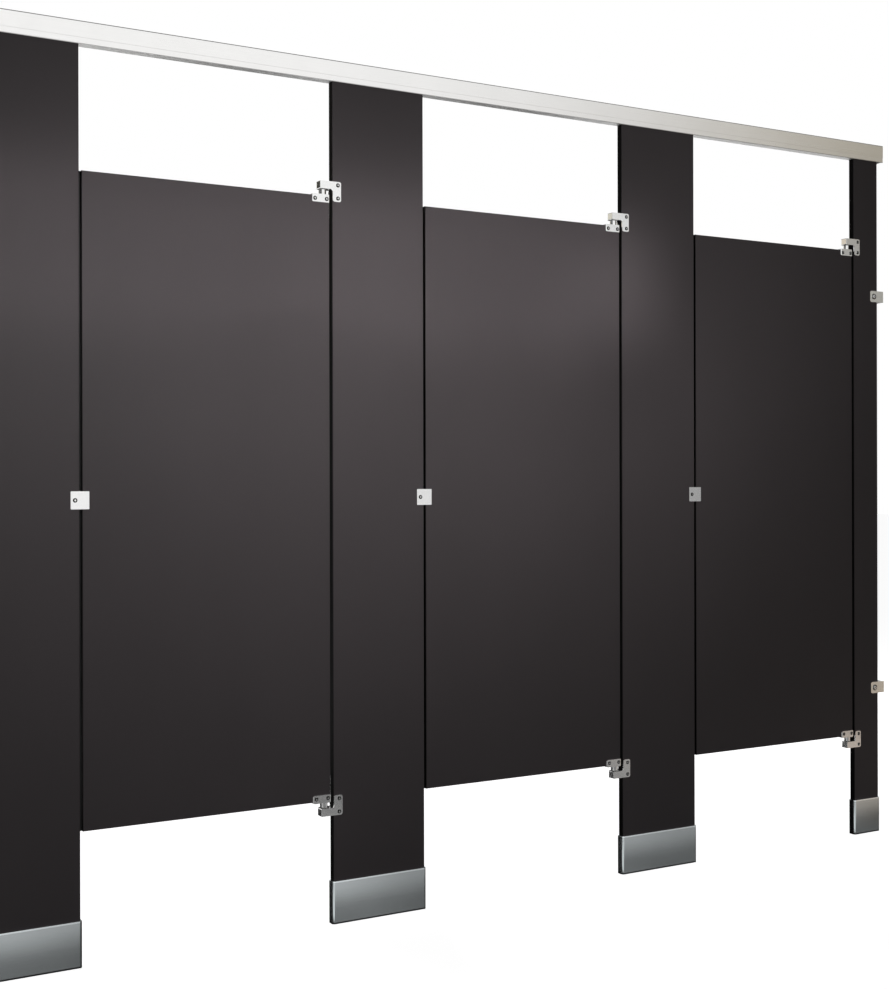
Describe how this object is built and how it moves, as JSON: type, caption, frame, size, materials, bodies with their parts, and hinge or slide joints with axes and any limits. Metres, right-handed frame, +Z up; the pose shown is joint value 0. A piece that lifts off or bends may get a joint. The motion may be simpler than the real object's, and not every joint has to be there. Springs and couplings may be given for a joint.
{
  "type": "toilet cubicle",
  "caption": "Row of toilet cubicles: dark panel doors flush between pilasters in steel shoes, under an aluminium headrail, with pivot hinges, slide latches and coat hooks.",
  "frame": {"origin": "on the floor, in the middle of the row's bounding box", "axes": "+X along the row towards the side wall, +Y from the fronts of the doors into the cubicles, +Z up"},
  "size_m": [2.76, 1.53, 2.11],
  "materials": {
    "board": "charcoal compact laminate, fine matt texture, black core at the edges",
    "rail_aluminium": "satin anodised",
    "shoe_steel": "stainless, fine brushed along its length",
    "hinge_chrome": "satin chrome casting",
    "latch_chrome": "satin chrome casting",
    "bracket_steel": "satin",
    "bolt_steel": "polished, turned",
    "pin_steel": "ground",
    "zinc_steel": "zinc plated",
    "nylon": "moulded nylon",
    "rubber": "matt"
  },
  "bodies": {
    "frame": {"pilaster_1": "board", "pilaster_2": "board", "pilaster_3": "board", "pilaster_4": "board", "shoe_1": "shoe_steel", "shoe_2": "shoe_steel", "shoe_3": "shoe_steel", "shoe_4": "shoe_steel", "anchor_plates": "zinc_steel", "levelling_studs": "zinc_steel", "headrail": "rail_aluminium", "headrail_covers": "rail_aluminium", "headrail_wall_bracket": "zinc_steel", "headrail_screws": "bolt_steel", "divider_1": "board", "divider_2": "board", "divider_3": "board", "divider_front_brackets": "bracket_steel", "divider_wall_brackets": "bracket_steel", "divider_bolts": "bolt_steel", "pilaster_wall_brackets": "bracket_steel", "upper_hinge_bracket_1": "hinge_chrome", "upper_hinge_bracket_2": "hinge_chrome", "upper_hinge_bracket_3": "hinge_chrome", "lower_hinge_bracket_1": "hinge_chrome", "lower_hinge_bracket_2": "hinge_chrome", "lower_hinge_bracket_3": "hinge_chrome", "hinge_pins": "pin_steel", "pilaster_bolts": "bolt_steel", "strike_keeper_1": "hinge_chrome", "strike_keeper_2": "hinge_chrome", "strike_keeper_3": "hinge_chrome", "door_seals": "rubber"},
    "door_1": {"door_panel_1": "board", "upper_leaf_1": "hinge_chrome", "lower_leaf_1": "hinge_chrome", "hinge_bushings_1": "nylon", "door_bolts_1": "bolt_steel", "latch_case_1": "latch_chrome", "coat_hook_1": "latch_chrome", "hook_bumper_1": "rubber"},
    "latch_1": {"slide_bolt_1": "latch_chrome"},
    "door_2": {"door_panel_2": "board", "upper_leaf_2": "hinge_chrome", "lower_leaf_2": "hinge_chrome", "hinge_bushings_2": "nylon", "door_bolts_2": "bolt_steel", "latch_case_2": "latch_chrome", "coat_hook_2": "latch_chrome", "hook_bumper_2": "rubber"},
    "latch_2": {"slide_bolt_2": "latch_chrome"},
    "door_3": {"door_panel_3": "board", "upper_leaf_3": "hinge_chrome", "lower_leaf_3": "hinge_chrome", "hinge_bushings_3": "nylon", "door_bolts_3": "bolt_steel", "latch_case_3": "latch_chrome", "coat_hook_3": "latch_chrome", "hook_bumper_3": "rubber"},
    "latch_3": {"slide_bolt_3": "latch_chrome"}
  },
  "joints": [
    {"name": "door_1_swing", "type": "hinge", "parent": "frame", "child": "door_1", "pos_m": [-0.52, -0.7495, 0.302], "axis": [0, 0, -1], "range_deg": [0, 90], "stiffness_Nm_per_rad": 2, "springref_deg": -28.65},
    {"name": "latch_1_slide", "type": "slide", "parent": "door_1", "child": "latch_1", "axis": [-1, 0, 0], "range_m": [0, 0.025]},
    {"name": "door_2_swing", "type": "hinge", "parent": "frame", "child": "door_2", "pos_m": [0.358, -0.7495, 0.302], "axis": [0, 0, -1], "range_deg": [0, 90], "stiffness_Nm_per_rad": 2, "springref_deg": -28.65},
    {"name": "latch_2_slide", "type": "slide", "parent": "door_2", "child": "latch_2", "axis": [-1, 0, 0], "range_m": [0, 0.025]},
    {"name": "door_3_swing", "type": "hinge", "parent": "frame", "child": "door_3", "pos_m": [1.236, -0.7495, 0.302], "axis": [0, 0, -1], "range_deg": [0, 90], "stiffness_Nm_per_rad": 2, "springref_deg": -28.65},
    {"name": "latch_3_slide", "type": "slide", "parent": "door_3", "child": "latch_3", "axis": [-1, 0, 0], "range_m": [0, 0.025]}
  ]
}
